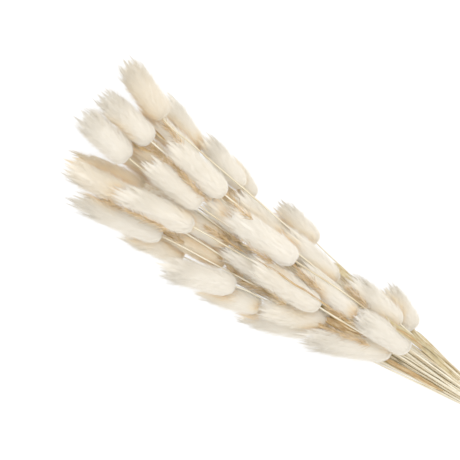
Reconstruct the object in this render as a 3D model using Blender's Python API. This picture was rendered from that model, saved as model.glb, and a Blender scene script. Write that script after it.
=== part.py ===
"""A tied bunch of dried bunny tail grass, lying on its side.

Every stem grew with its own fluffy seed head, so each is one solid. A band of natural twine holds
the stems together. X runs along the bunch: the heads lie towards -X and the cut ends towards +X.
Y is across the bunch, and Z is up. The bunch lies on its lowest heads and on the underside of the
twine. The origin is under the middle of the whole bunch, on the surface it lies on.

Lengths in the tables are in millimetres. "Reach" is a distance from the twine towards the heads,
"side" is across the bunch, and "height" is above the surface.
"""

import math

import bmesh
import bpy
import numpy as np
from mathutils import Vector

MM = 0.001

# One stem
STEM_RADIUS_AT_TIE = 0.72
STEM_RADIUS_AT_HEAD = 0.5
STEM_SIDES = 5
RING_SPACING = 30.0
CUT_END = 95.0
CUT_UNEVENNESS = 7.0
CUT_FLARE = (1.25, 1.7)

# One seed head of common length: how far its tufts reach, how far neighbours can press in, and
# its slim core. Longer heads are stouter, by this power of their length.
HEAD_LENGTH = 52.0
HEAD_RADIUS = 11.3
PRESSED_RADIUS = 7.7
CORE_RADIUS = 5.0
STOUTNESS = 0.35
STOUTNESS_UNEVENNESS = 0.05

# How far the middle of a head lies off its straight line, and the share of heads that sag
HEAD_BOW = 1.6
SAGGING_SHARE = 0.6

# A head's outline, in shares of its length and width: a round base, a full middle, a blunt end
BASE_SHARE = 0.22
POINT_START = 0.4
POINT_TAPER = 0.42
POINT_CURVE = 2.5
LEAST_WIDTH = 0.1

# The tufts of a head: staggered rows, closer together at the base, with short tufts there
TUFTS_AROUND = 8
TUFT_ROWS = 9
FIRST_ROW = 0.01
LAST_ROW = 0.81
ROW_CROWDING = 1.1
TIP_POINT = 0.985
NECK_RADIUS = 1.5
SHORT_TUFT = 1.5
LONG_TUFT = 8.5
LONG_FROM = 0.33
TUFT_UNEVENNESS = 0.14
REACH_UNEVENNESS = 0.06

# How the stems and heads lie together, and the least share of a tuft's reach that stays when a
# neighbour bends it in
STEM_PITCH = 1.8
BUNDLE_RINGS = 3
CLEARANCE = 0.35
TUFT_CLEARANCE = 0.4
LEAST_SHARE = 0.55

# How the tails are eased apart: heads are drawn to their own places for most of the rounds, more
# sideways than upwards, and stems go round heads rather than push them
SAMPLE_SPACING = 5.0
SETTLE_ROUNDS = 900
HOMING_SHARE = 0.8
HOME_PULL = np.array((0.25, 0.03))
FIRST_GIVE = np.array((0.25, 1.0))
HEAD_GIVE = 0.12
PUSH_SHARE = 0.7
STIFFNESS_AT_FIRST = 0.3
STIFFNESS_AT_LAST = 0.04
NECK_STIFFNESS = 0.06
SEED = 11
TINY = 1e-6

# The twine: a flat band of turns side by side, snug on the stems, pressed flat underneath
TWINE_RADIUS = 1.0
TWINE_TURNS = 5
TWINE_PITCH = 1.9
TWINE_GAP = 0.3
TWINE_INSIDE = BUNDLE_RINGS * STEM_PITCH + STEM_RADIUS_AT_TIE + TWINE_GAP
TWINE_FLAT = 0.25
TWINE_SIDES = 28
CORD_SIDES = 4
TIE_HEIGHT = TWINE_INSIDE + 2.0 * TWINE_RADIUS - TWINE_FLAT
HALF_TIE = 0.5 * (TWINE_TURNS + 1) * TWINE_PITCH

# The tufts that meet the surface are cut off flat this far above their points
PRESSED_FLAT = 0.35

# Where each head lies: reach, side and height of its base, then of its tip. Last is how wide it
# is, as a share of the common width.
HEADS = (
    ((336, 30, 34), (382, 51, 32), 1.16),
    ((300, 27, 24), (345, 46, 22), 0.95),
    ((333, 14, 42), (382, 21, 40), 1.1),
    ((339, -6, 42), (386, 1, 38), 1.2),
    ((315, -13, 22), (374, -30, 14), 1.0),
    ((322, -27, 34), (372, -36, 30), 0.98),
    ((271, -17, 34), (331, -29, 38), 1.0),
    ((276, -4, 44), (325, 1, 48), 1.0),
    ((286, -36, 30), (354, -52, 26), 0.95),
    ((264, -38, 12), (313, -49, 10), 1.0),
    ((297, 23, 26), (354, 30, 24), 1.0),
    ((266, 14, 44), (319, 20, 46), 1.0),
    ((291, 7, 28), (349, 9, 26), 1.05),
    ((259, 26, 26), (303, 39, 22), 1.0),
    ((248, 21, 12), (279, 37, 10), 0.95),
    ((231, -1, 26), (276, 3, 30), 1.0),
    ((195, 3, 40), (256, 6, 46), 1.0),
    ((208, 12, 26), (257, 19, 30), 1.0),
    ((190, 22, 22), (228, 30, 22), 1.05),
    ((161, 9, 30), (214, 17, 34), 1.0),
    ((135, -2, 34), (188, 4, 38), 1.0),
    ((105, 12, 30), (154, 16, 34), 1.0),
    ((94, 11, 18), (128, 27, 18), 1.12),
    ((89, 2, 37), (135, -1, 43), 1.0),
    ((98, 0, 27), (157, -36, 26), 0.97),
    ((148, -13, 30), (195, -37, 28), 1.0),
    ((156, -26, 12), (206, -47, 14), 1.0),
    ((196, -38, 12), (243, -51, 12), 1.0),
    ((192, -14, 26), (243, -16, 30), 1.0),
    ((161, -9, 38), (219, -13, 44), 1.0),
    ((236, -26, 12), (291, -31, 10), 1.05),
    ((242, -9, 28), (294, -20, 28), 1.05),
    ((220, -33, 28), (273, -56, 24), 1.08),
    ((296, -6, 12), (358, 0, 14), 1.2),
    ((224, 9, 10), (282, 13, 10), 1.05),
    ((178, -17, 10), (234, -26, 10), 1.1),
    ((140, 6, 10), (203, 5, 10), 1.05),
)


def clear_scene():
    for obj in list(bpy.data.objects):
        bpy.data.objects.remove(obj, do_unlink=True)


def material(name, color, roughness):
    made = bpy.data.materials.new(name)
    made.use_nodes = True
    shader = made.node_tree.nodes["Principled BSDF"]
    shader.inputs["Base Color"].default_value = (*color, 1.0)
    shader.inputs["Roughness"].default_value = roughness
    shader.inputs["Metallic"].default_value = 0.0
    return made


# How the stems lie


def bundle_cells():
    """Where the stems pass through the twine: a hexagon of stems side by side, as (side, height)."""
    cells = []
    for column in range(-BUNDLE_RINGS, BUNDLE_RINGS + 1):
        for row in range(-BUNDLE_RINGS, BUNDLE_RINGS + 1):
            if abs(column + row) <= BUNDLE_RINGS:
                side = STEM_PITCH * (column + 0.5 * row)
                height = STEM_PITCH * row * math.sqrt(0.75)
                cells.append((side, height + TIE_HEIGHT))
    return np.array(cells)


def slope_from_tie(head):
    """How steeply a stem leaves the bundle for its head, sideways and upwards."""
    reach, side, height = head[0]
    return np.array((side, height - TIE_HEIGHT)) / reach


def share_out(cells):
    """Gives each head the cell of the bundle that lies on its own side, so that few stems cross."""
    slopes = np.array([slope_from_tie(head) for head in HEADS])
    slopes = slopes - slopes.mean(axis=0)
    spread = np.linalg.norm(slopes, axis=1).max()
    wanted = slopes / spread * BUNDLE_RINGS * STEM_PITCH + (0.0, TIE_HEIGHT)
    cost = ((wanted[:, None] - cells[None]) ** 2).sum(axis=2)
    taken = list(range(len(HEADS)))
    swapped = True
    while swapped:
        swapped = False
        for first in range(len(taken)):
            for second in range(first + 1, len(taken)):
                a, b = taken[first], taken[second]
                if cost[first, b] + cost[second, a] < cost[first, a] + cost[second, b] - 1e-9:
                    taken[first], taken[second] = b, a
                    swapped = True
    return cells[taken]


def head_profile(along):
    """Outer radius of a head, tufts included, as a share of its widest."""
    into_base = 1.0 - np.clip(along / BASE_SHARE, 0.0, 1.0)
    into_point = np.clip((along - POINT_START) / (1.0 - POINT_START), 0.0, 1.0)
    profile = np.sqrt(1.0 - into_base**2) * (1.0 - POINT_TAPER * into_point**POINT_CURVE)
    return np.maximum(profile, LEAST_WIDTH)


def stem_radius(reach, base_reach):
    """A stem tapers from the tie to its head."""
    along = np.clip(reach / base_reach, 0.0, 1.0)
    return STEM_RADIUS_AT_TIE + (STEM_RADIUS_AT_HEAD - STEM_RADIUS_AT_TIE) * along


def bow(along):
    """How far a head's middle lies off the line from its base to its tip."""
    return HEAD_BOW * 4.0 * along * (1.0 - along)


class Tail:
    """One stem with its head: the reach of each point that its path is drawn through."""

    def __init__(self, head, cell, draw):
        base, tip = np.array(head[:2], float)
        head_reaches = (base[0], tip[0])
        self.base_reach, self.tip_reach = head_reaches
        self.head_length = np.linalg.norm(tip - base)
        uneven = 1.0 + STOUTNESS_UNEVENNESS * draw.uniform(-1.0, 1.0)
        self.stoutness = head[2] * uneven * (self.head_length / HEAD_LENGTH) ** STOUTNESS
        cut = -CUT_END - CUT_UNEVENNESS * draw.uniform(-1.0, 1.0)
        last = self.base_reach - 0.4 * RING_SPACING
        between = np.arange(HALF_TIE + RING_SPACING, last, RING_SPACING)
        self.reaches = np.concatenate([[cut, -HALF_TIE, HALF_TIE], between, head_reaches])
        self.home_base = base[1:]
        self.home_tip = tip[1:]
        share = np.clip((self.reaches - HALF_TIE) / (self.base_reach - HALF_TIE), 0.0, 1.0)
        self.points = cell + share[:, None] * (self.home_base - cell)
        middle = np.array((0.0, TIE_HEIGHT))
        self.points[0] = middle + draw.uniform(*CUT_FLARE) * (cell - middle)
        self.points[-1] = self.home_tip
        self.sag = np.array((0.0, -1.0 if draw.random() < SAGGING_SHARE else 1.0))

    def along(self, reach):
        """How far along the head a reach lies: 0 at its base and 1 at its tip."""
        return (reach - self.base_reach) / (self.tip_reach - self.base_reach)

    def centre(self, reach):
        """Where the tail crosses the planes at these reaches, as (side, height)."""
        side = np.interp(reach, self.reaches, self.points[:, 0])
        height = np.interp(reach, self.reaches, self.points[:, 1])
        along = np.clip(self.along(reach), 0.0, 1.0)
        return np.stack([side, height], axis=-1) + bow(along)[..., None] * self.sag

    def pressed_radius(self, reach):
        """The radius that neighbours can't press in, of the head or of the stem."""
        slant = (self.tip_reach - self.base_reach) / self.head_length
        round_head = PRESSED_RADIUS * self.stoutness * head_profile(self.along(reach)) / slant
        in_head = (reach >= self.base_reach) & (reach <= self.tip_reach)
        return np.where(in_head, round_head, stem_radius(reach, self.base_reach))


def room_around(tail, others, reach, offset):
    """The share of each offset from the tail's middle that stays clear of the other tails."""
    here = tail.centre(reach)
    share = np.minimum(1.0, (here[:, 1] + PRESSED_FLAT) / np.maximum(-offset[:, 1], TINY))
    for other in others:
        gap = other.centre(reach) - here
        apart = np.linalg.norm(gap, axis=1)
        theirs = other.pressed_radius(reach)
        free = apart - theirs
        between_heads = 0.5 * (apart + tail.pressed_radius(reach) - theirs)
        free = np.where(reach >= other.base_reach, between_heads, free) - TUFT_CLEARANCE
        towards = (offset * gap).sum(axis=1) / apart
        beside = (towards > 0.0) & (reach <= other.tip_reach)
        share = np.where(beside, np.minimum(share, free / np.maximum(towards, TINY)), share)
    return share


class Samples:
    """Every tail cut by the same planes across the bunch, for finding where two of them touch."""

    def __init__(self, tails):
        longest = max(tail.tip_reach for tail in tails)
        planes = np.arange(-CUT_END + CUT_UNEVENNESS, longest, SAMPLE_SPACING)
        shape = (len(planes), len(tails))
        self.first = np.zeros(shape, int)
        self.share = np.zeros(shape)
        self.radius = np.zeros(shape)
        self.bowed = np.zeros((*shape, 2))
        self.gives = np.ones(shape)
        start = 0
        for index, tail in enumerate(tails):
            spot = np.clip(np.searchsorted(tail.reaches, planes) - 1, 0, len(tail.reaches) - 2)
            low, high = tail.reaches[spot], tail.reaches[spot + 1]
            self.first[:, index] = start + spot
            self.share[:, index] = np.clip((planes - low) / (high - low), 0.0, 1.0)
            radius = tail.pressed_radius(planes)
            self.radius[:, index] = np.where(planes <= tail.tip_reach, radius, -np.inf)
            self.gives[planes >= tail.base_reach, index] = HEAD_GIVE
            bowed = bow(np.clip(tail.along(planes), 0.0, 1.0))
            self.bowed[:, index] = bowed[:, None] * tail.sag
            start += len(tail.reaches)

    def cut(self, points):
        """Where each tail crosses each plane, for these points of their paths."""
        share = self.share[..., None]
        return (1.0 - share) * points[self.first] + share * points[self.first + 1] + self.bowed


def pushes(centres, radius, gives):
    """How far each disc moves to clear its neighbours and the surface below."""
    gap = centres[:, :, None] - centres[:, None, :]
    apart = np.linalg.norm(gap, axis=3)
    short = radius[:, :, None] + radius[:, None, :] + CLEARANCE - apart
    same = np.eye(radius.shape[1], dtype=bool)
    short = np.where(same | (short < 0.0), 0.0, short)
    part = gives[:, :, None] / (gives[:, :, None] + gives[:, None, :])
    shove = (gap * (part * short / np.maximum(apart, TINY))[..., None]).sum(axis=2)
    shove[..., 1] += np.clip(radius - centres[..., 1], 0.0, None)
    return shove


def settle(tails):
    """Eases the tails apart until none touches another, with each head kept near its own place."""
    samples = Samples(tails)
    points = np.concatenate([tail.points for tail in tails])
    reaches = np.concatenate([tail.reaches for tail in tails])
    ends = np.cumsum([len(tail.reaches) for tail in tails])
    starts = ends - [len(tail.reaches) for tail in tails]
    held = np.concatenate([[start + 1, start + 2] for start in starts])
    inner = np.concatenate([np.arange(start + 3, end - 1) for start, end in zip(starts, ends)])
    before, after = reaches[inner - 1], reaches[inner + 1]
    lean = ((reaches[inner] - before) / (after - before))[:, None]
    bases, tips = ends - 2, ends - 1
    stiff = np.where(np.isin(inner, bases), NECK_STIFFNESS, 1.0)[:, None]
    home_bases = np.array([tail.home_base for tail in tails])
    home_tips = np.array([tail.home_tip for tail in tails])
    fixed = points[held].copy()
    for turn in range(SETTLE_ROUNDS):
        ease = max(0.0, 1.0 - turn / (HOMING_SHARE * SETTLE_ROUNDS))
        give = FIRST_GIVE + (1.0 - ease) * (1.0 - FIRST_GIVE)
        stiffness = STIFFNESS_AT_LAST + ease * (STIFFNESS_AT_FIRST - STIFFNESS_AT_LAST)
        shove = give * pushes(samples.cut(points), samples.radius, samples.gives)
        moved = np.abs(shove).max(axis=2) > 0.0
        total = np.zeros_like(points)
        weight = np.zeros(len(points))
        for offset, part in ((0, 1.0 - samples.share), (1, samples.share)):
            target = (samples.first + offset)[moved]
            np.add.at(total, target, part[moved][:, None] * shove[moved])
            np.add.at(weight, target, part[moved] ** 2)
        points += PUSH_SHARE * total / np.maximum(weight, 0.5)[:, None]
        points[bases] += ease * HOME_PULL * (home_bases - points[bases])
        points[tips] += ease * HOME_PULL * (home_tips - points[tips])
        straight = (1.0 - lean) * points[inner - 1] + lean * points[inner + 1]
        points[inner] += stiffness * stiff * (straight - points[inner])
        points[held] = fixed
    for tail, start, end in zip(tails, starts, ends):
        tail.points = points[start:end]


# The shape of one tail


def place(reach, point):
    """A point of the bunch in metres, with the surface at height 0."""
    return Vector((-reach, point[0], point[1])) * MM


def ring(mesh, centre, across, up, radius, count, turn):
    """A ring of vertices round a centre, in the plane of two directions."""
    verts = []
    for index in range(count):
        angle = turn + 2.0 * math.pi * index / count
        offset = (across * math.cos(angle) + up * math.sin(angle)) * radius
        verts.append(mesh.verts.new(centre + offset))
    return verts


def bridge(mesh, low, high):
    """Joins two rings that start at about the same angle, whatever their counts."""
    i = j = 0
    while i < len(low) or j < len(high):
        a, b = low[i % len(low)], high[j % len(high)]
        if j == len(high) or (i < len(low) and (i + 1) * len(high) <= (j + 1) * len(low)):
            mesh.faces.new((a, low[(i + 1) % len(low)], b))
            i += 1
        else:
            mesh.faces.new((a, high[(j + 1) % len(high)], b))
            j += 1


def add_stem(mesh, tail):
    """The stem as a chain of rings, each across the bunch. Returns the ring at the head."""
    across, up = Vector((0.0, 1.0, 0.0)), Vector((0.0, 0.0, 1.0))
    previous = None
    for reach, point in zip(tail.reaches[:-1], tail.points[:-1]):
        radius = stem_radius(reach, tail.base_reach) * MM
        current = ring(mesh, place(reach, point), across, up, radius, STEM_SIDES, 0.0)
        if previous is None:
            mesh.faces.new(current)
        else:
            bridge(mesh, previous, current)
        previous = current
    return previous


class Axis:
    """The bowed line through the middle of a head, with directions across it."""

    def __init__(self, tail):
        self.base = place(tail.base_reach, tail.points[-2])
        self.tip = place(tail.tip_reach, tail.points[-1])
        self.forward = (self.tip - self.base).normalized()
        self.across = self.forward.cross(Vector((0.0, 0.0, 1.0))).normalized()
        self.up = self.across.cross(self.forward)
        self.length = (self.tip - self.base).length
        self.sag = Vector((0.0, tail.sag[0], tail.sag[1])) * MM

    def centre(self, along):
        return self.base + self.forward * self.length * along + self.sag * bow(along)

    def outward(self, angle):
        return self.across * math.cos(angle) + self.up * math.sin(angle)


def core_radius(tail, along):
    """The slim core that the tufts stand out of."""
    return CORE_RADIUS * tail.stoutness * float(head_profile(np.array(along)))


def tuft_length(along):
    return SHORT_TUFT + (LONG_TUFT - SHORT_TUFT) * min(1.0, along / LONG_FROM)


def tuft_points(tail, others, axis, roots, draw):
    """The point of each tuft, from its place along and round the head, bent clear of its neighbours."""
    points = []
    for along, angle in roots:
        ahead = min(along + tuft_length(along) / tail.head_length, 1.0)
        ahead -= REACH_UNEVENNESS * draw.random() * along
        uneven = 1.0 - TUFT_UNEVENNESS * draw.random()
        radius = HEAD_RADIUS * tail.stoutness * float(head_profile(np.array(ahead))) * uneven
        points.append(axis.centre(ahead) + axis.outward(angle) * radius * MM)
    points = np.array(points) / MM
    middles = np.array([axis.centre(along) for along, _ in roots]) / MM
    shares = []
    for spots in (0.5 * (middles + points), points):
        offset = spots[:, 1:] - tail.centre(-spots[:, 0])
        shares.append(room_around(tail, others, -spots[:, 0], offset))
    share = np.clip(np.min(shares, axis=0), LEAST_SHARE, 1.0)[:, None]
    kept = tail.centre(-points[:, 0])
    points[:, 1:] = kept + share * (points[:, 1:] - kept)
    return points * MM


def add_head(mesh, tail, others, draw):
    """The head: a core covered by rows of pointed tufts, staggered and all leaning to the tip."""
    axis = Axis(tail)
    step = 2.0 * math.pi / TUFTS_AROUND
    turn = draw.uniform(0.0, step)
    rings = []
    places = []
    for row in range(TUFT_ROWS + 1):
        along = FIRST_ROW + (LAST_ROW - FIRST_ROW) * (row / TUFT_ROWS) ** ROW_CROWDING
        radius = NECK_RADIUS if row == 0 else core_radius(tail, along)
        start = turn + 0.5 * step * (row % 2)
        centre = axis.centre(along)
        rings.append(ring(mesh, centre, axis.across, axis.up, radius * MM, TUFTS_AROUND, start))
        places.append((along, start))
    tip = mesh.verts.new(axis.centre(TIP_POINT))
    rings.append([tip] * TUFTS_AROUND)
    roots = []
    borders = []
    for row, (along, start) in enumerate(places):
        for index in range(TUFTS_AROUND):
            after = (index + 1) % TUFTS_AROUND
            between = (index + row % 2) % TUFTS_AROUND
            left, right, ahead = rings[row][index], rings[row][after], rings[row + 1][between]
            if row == 0:
                mesh.faces.new((left, right, ahead))
            else:
                roots.append((along, start + (index + 0.5) * step))
                borders.append((rings[row - 1][between], right, ahead, left))
    for point, border in zip(tuft_points(tail, others, axis, roots, draw), borders):
        peak = mesh.verts.new(point)
        for index in range(4):
            mesh.faces.new((border[index], border[(index + 1) % 4], peak))
    return rings[0]


def build_tail(name, tail, others, draw, materials, holder):
    """One tail as one closed mesh, with straw on its stem and fluff on its head."""
    mesh = bmesh.new()
    neck = add_stem(mesh, tail)
    stem_faces = len(mesh.faces)
    root = add_head(mesh, tail, others, draw)
    bridge(mesh, neck, root)
    for index, face in enumerate(mesh.faces):
        face.material_index = 0 if index < stem_faces else 1
        face.smooth = index < stem_faces
    flatten_below(mesh)
    return finish(name, mesh, materials, holder)


def flatten_below(mesh):
    """Cuts off what lies under the surface, and closes the cut with flat faces."""
    cut = bmesh.ops.bisect_plane(
        mesh,
        geom=mesh.verts[:] + mesh.edges[:] + mesh.faces[:],
        dist=TINY * MM,
        plane_co=(0.0, 0.0, 0.0),
        plane_no=(0.0, 0.0, -1.0),
        clear_outer=True,
    )
    edges = [item for item in cut["geom_cut"] if isinstance(item, bmesh.types.BMEdge)]
    bmesh.ops.holes_fill(mesh, edges=edges)
    bmesh.ops.recalc_face_normals(mesh, faces=mesh.faces)


def finish(name, mesh, materials, holder):
    """Makes the mesh an object of the bunch."""
    data = bpy.data.meshes.new(name)
    mesh.to_mesh(data)
    mesh.free()
    for made in materials:
        data.materials.append(made)
    obj = bpy.data.objects.new(name, data)
    obj.parent = holder
    bpy.context.scene.collection.objects.link(obj)
    return obj


# The twine


def twine_outline():
    """The band's section as (along, radius): a half round for each turn, and the bore under them."""
    points = []
    for turn in range(TWINE_TURNS):
        centre = (turn - 0.5 * (TWINE_TURNS - 1)) * TWINE_PITCH
        for step in range(CORD_SIDES):
            angle = math.pi * (1.0 - (step + 0.5) / CORD_SIDES)
            along = centre + 0.5 * TWINE_PITCH * math.cos(angle)
            points.append((along, TWINE_INSIDE + TWINE_RADIUS * (1.0 + math.sin(angle))))
    points.append((-points[0][0], TWINE_INSIDE))
    points.append((points[0][0], TWINE_INSIDE))
    return points


def build_twine(materials, holder):
    mesh = bmesh.new()
    outline = twine_outline()
    loops = []
    for index in range(TWINE_SIDES):
        angle = 2.0 * math.pi * (index + 0.5) / TWINE_SIDES
        loop = []
        for along, radius in outline:
            offset = Vector((0.0, math.sin(angle), -math.cos(angle))) * radius
            loop.append(mesh.verts.new((Vector((along, 0.0, TIE_HEIGHT)) + offset) * MM))
        loops.append(loop)
    for index in range(TWINE_SIDES):
        here, there = loops[index], loops[(index + 1) % TWINE_SIDES]
        for k in range(len(outline)):
            after = (k + 1) % len(outline)
            face = mesh.faces.new((here[k], here[after], there[after], there[k]))
            face.smooth = True
    flatten_below(mesh)
    bmesh.ops.triangulate(mesh, faces=mesh.faces)
    return finish("twine_tie", mesh, materials, holder)


def rest_on_origin(holder):
    """Moves the bunch so that the middle of its box is over the origin."""
    bpy.context.view_layer.update()
    corners = [
        obj.matrix_world @ vert.co for obj in holder.children for vert in obj.data.vertices
    ]
    for axis in (0, 1):
        values = [corner[axis] for corner in corners]
        holder.location[axis] -= 0.5 * (min(values) + max(values))
    holder.location[2] -= min(corner[2] for corner in corners)


def main():
    clear_scene()
    straw = material("dried_straw", (0.76, 0.6, 0.35), 0.6)
    fluff = material("cream_fluff", (0.87, 0.8, 0.68), 0.9)
    cord = material("natural_twine", (0.55, 0.42, 0.26), 0.85)
    holder = bpy.data.objects.new("bunch", None)
    bpy.context.scene.collection.objects.link(holder)
    draw = np.random.default_rng(SEED)
    cells = share_out(bundle_cells())
    tails = [Tail(head, cell, draw) for head, cell in zip(HEADS, cells)]
    settle(tails)
    for index, tail in enumerate(tails):
        others = [other for other in tails if other is not tail]
        build_tail(f"bunny_tail_{index + 1:02d}", tail, others, draw, (straw, fluff), holder)
    build_twine((cord,), holder)
    rest_on_origin(holder)


main()
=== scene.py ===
"""The looks of a tied bunch of dried bunny tail grass, lying on a pale floor.

Each tail of the frame is drawn again as a straw stem and a plume of fine hair that fills the same
space, with painted shade in its colour: golden brown where a head above lies close, and darker grey
towards the plume's end. Dry leaves, sheaths, husks and scraps lie among the stems, and golden hairs in
the gaps between the heads; the dark leaves, sheaths and scraps and the golden hairs are in part
painted shade in those gaps. The twine is a twisted cord wound round the stems. Sizes are in
millimetres, which MM turns into the frame's metres, and only the stage's are in metres.
"""

import math

import bpy
import numpy as np
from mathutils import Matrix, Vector


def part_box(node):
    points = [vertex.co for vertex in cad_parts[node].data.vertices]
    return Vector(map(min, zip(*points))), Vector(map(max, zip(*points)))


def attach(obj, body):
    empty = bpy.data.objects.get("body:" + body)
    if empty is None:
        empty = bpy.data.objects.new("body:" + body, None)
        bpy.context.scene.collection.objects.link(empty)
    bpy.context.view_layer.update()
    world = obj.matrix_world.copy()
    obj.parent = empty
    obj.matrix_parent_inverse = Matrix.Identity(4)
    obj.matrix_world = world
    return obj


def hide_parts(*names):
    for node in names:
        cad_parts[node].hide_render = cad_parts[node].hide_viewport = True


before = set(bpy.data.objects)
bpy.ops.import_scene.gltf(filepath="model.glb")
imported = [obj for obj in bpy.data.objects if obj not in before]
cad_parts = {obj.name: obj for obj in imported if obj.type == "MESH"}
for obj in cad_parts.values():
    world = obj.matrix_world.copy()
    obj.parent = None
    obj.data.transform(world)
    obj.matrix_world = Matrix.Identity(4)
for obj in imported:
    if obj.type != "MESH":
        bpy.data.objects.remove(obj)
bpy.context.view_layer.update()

MM = 0.001
SEED = 5
UP = np.array((0.0, 0.0, 1.0))
TURN = 2.0 * math.pi
GOLDEN_TURN = math.pi * (3.0 - math.sqrt(5.0))

# Pale pictures keep their shadows light: above 1 lifts the darker tones
SOFT_TONES = 1.7

# The photograph's frame: how many millimetres it covers, where its middle is from the twine, and its
# turn in degrees. A long lens looks at it from far above
FRAME_WIDTH = 340.4
FRAME_FROM_TWINE = (-248.4, -4.1, 30.0)
FRAME_TURN = 35.6
LENS = 300.0
SENSOR = 36.0

# The stage, in metres: half a side of the floor, how far it is below the bunch, how far the camera
# sees, and a round lamp with its place from the frame's middle
FLOOR_REACH = 3.0
FLOOR_GAP = 0.0003
SIGHT = 50.0
LAMP_SIZE = 1.0
LAMP_PLACE = (0.2, 0.6, 1.3)

# How bright the stage is: the sky, the lamp in watts, and the floor's own glow
SKY_STRENGTH = 1.12
LAMP_POWER = 9.0
FLOOR_GLOW = 0.88

# How the frame's tails are built, for reading them: the points of a stem's ring, how far they are
# from its middle at most, and how flat it is. Then where along a head its foremost point is, and how
# many triangles meet at the peak of a tuft and at a point of the core
STEM_SIDES = 5
WIDEST_RING = 1.6
SAME_PLANE = 0.001
TIP_POINT = 0.985
PEAK_FACES = 4
CORE_FACES = 8

# A plume's outline. Places in a plume are shares of its length, from 0 at its stem, and of the
# outline's radius. Its base is round up to the first place, and it narrows from the second on: how
# much by its end, and the least that is left, as shares of its widest
ROUND_BASE = 0.22
NARROWS_FROM = 0.4
END_NARROWING = 0.42
THINNEST = 0.05

# Where neighbours press a plume in: which percentile of its tufts stands free, the least and most
# that a tuft reaches out, how much of the pressing stays as an exponent, and how far round and along a
# tuft counts
FREE_TUFTS = 80
TUFT_LIMITS = (0.3, 1.04)
SOFTNESS = 0.6
TUFT_BLUR = (0.45, 0.09)

# The tufts that cover a plume: how many they are with how many hairs in each, how unevenly they are
# placed along it and round it, and how far out they end
COVER_TUFTS = (130, 12)
COVER_SCATTER = (0.01, 0.12)
COVER_OUT = (0.91, 1.0)

# Barbs that stand out at its sides: how many with how many hairs in each, from where along it and
# over how much of it they end, and how far out
BARBS = (100, 8)
BARBS_ALONG = (0.25, 0.8)
BARBS_OUT = (1.04, 1.24)

# Wisps at its end, like a worn brush: how many with how many hairs in each, where they end and how
# unevenly, how much sooner the outer ones do, and how far apart they spread
WISPS = (20, 39)
WISPS_ALONG = 1.02
WISPS_UNEVEN = (-0.07, 0.14)
WISPS_ROUNDED = 0.04
WISPS_SPREAD = 1.65

# Loose hairs between the tufts, and strays that stand clear of the plume
LOOSE_HAIRS = 3700
LOOSE_OUT = (0.86, 0.95)
STRAY_HAIRS = 620
STRAY_REACH = (0.04, 0.15)
STRAY_OUT = (0.95, 1.2)

# Where the covering tufts and the loose hairs stop. The loose ones close the plume in the last part of
# that: from which share of it, and over how much
BODY_END = 0.91
CLOSED_END = (0.93, 0.07)

# Tufts stand out more towards the end: from where on, and by how much
SPLAY_FROM = 0.62
END_SPLAY = 0.28

# The kinds of hair in a plume, and how far back from its end each kind has its root
COVER, BARB, WISP, LOOSE = range(4)
HAIRS_BACK = (0.19, 0.12, 0.34, 0.19)

# How unevenly hairs end along the plume, out from its axis and round it, and wisps round it. Then how
# unevenly roots lie round it, and how much shorter the shortest hairs are, along it and out from it
HAIR_SCATTER = (0.008, 0.03, 0.08)
WISP_SCATTER = 0.04
ROOT_SCATTER = 0.22
SHORT_BY = (0.08, 0.1)

# How far out hairs have their roots and their bends, and how wide they are at the root. A strand's
# middle is this share as wide, and its map is a narrow strip: half the strip's width
ROOT_OUT = 0.5
BEND_OUT = 0.98
HAIR_WIDTH = 0.2
STRAY_WIDTH = 0.13
MIDDLE_WIDTH = 0.85
STRIP_HALF = 0.004

# The dense core inside a plume: its rows, its sides, where its rows and end points lie, and its radius
CORE_ROWS = 18
CORE_SIDES = 16
CORE_ALONG = (0.03, 0.93)
CORE_ENDS = (0.02, 0.95)
CORE_OUT = 0.62

# How pale a head is: 0 is golden brown and 1 is nearly white. Some heads have their own tone, by their
# number, and the others one in this range. Then how much paler a head's round base is, how uneven its
# hairs are, and the darkest that they get
TONE_RANGE = (0.66, 0.82)
TAN_HEADS = {1: 0.6, 5: 0.45, 6: 0.6, 13: 0.45, 31: 0.55, 34: 0.6, 35: 0.5, 37: 0.5}
DOME_PALER = 0.06
TONE_SCATTER = 0.03
DARKEST_TONE = 0.1

# Heads painted darker and greyer all over as painted shade, by their number, and how much from 0 to 1
SHADED_HEADS = {1: 0.5}

# Painted shade: other hair turns darker and greyer towards the plume's end, from this place on. It
# does so wholly where it is this many millimetres from the other heads, and by this share where it
# touches them
END_SHADE_FROM = 0.1
FREE_GAP = 4.0
HIDDEN_END_SHADE = 0.25

# Painted shade: hair that a head above lies close to is painted darker and golden, as if in its
# shade: how near that is, how much darker the hair is, and how unevenly. A head at the same height
# counts by this share, and by 1 more for each rise of this many millimetres, up to 1 in all
SHADE_UNDER_DEPTH = 4.5
SHADE_UNDER_TONE = 0.7
SHADE_UNDER_SCATTER = 0.35
LEVEL_SHADE_UNDER = 0.3
RISE = 3.0

# A straw stem: its radius at both ends, its sides, how far it goes into the head, a step along it, and
# its map's width
STEM_RADII = (0.8, 0.52)
TUBE_SIDES = 8
STEM_INSIDE = 0.12
STEM_STEP = 5.0
STEM_MAP = 0.35

# How straw looks: dark lines, its own colour and pale lines, and how many lines across and along
STRAWS = (
    ((0.46, 0.34, 0.16), (0.78, 0.69, 0.46), (0.90, 0.84, 0.66)),
    ((0.38, 0.26, 0.10), (0.70, 0.59, 0.35), (0.86, 0.78, 0.56)),
    ((0.28, 0.18, 0.07), (0.58, 0.45, 0.23), (0.78, 0.67, 0.43)),
)
STRAW_LINES = (26.0, 9.0)
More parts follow.
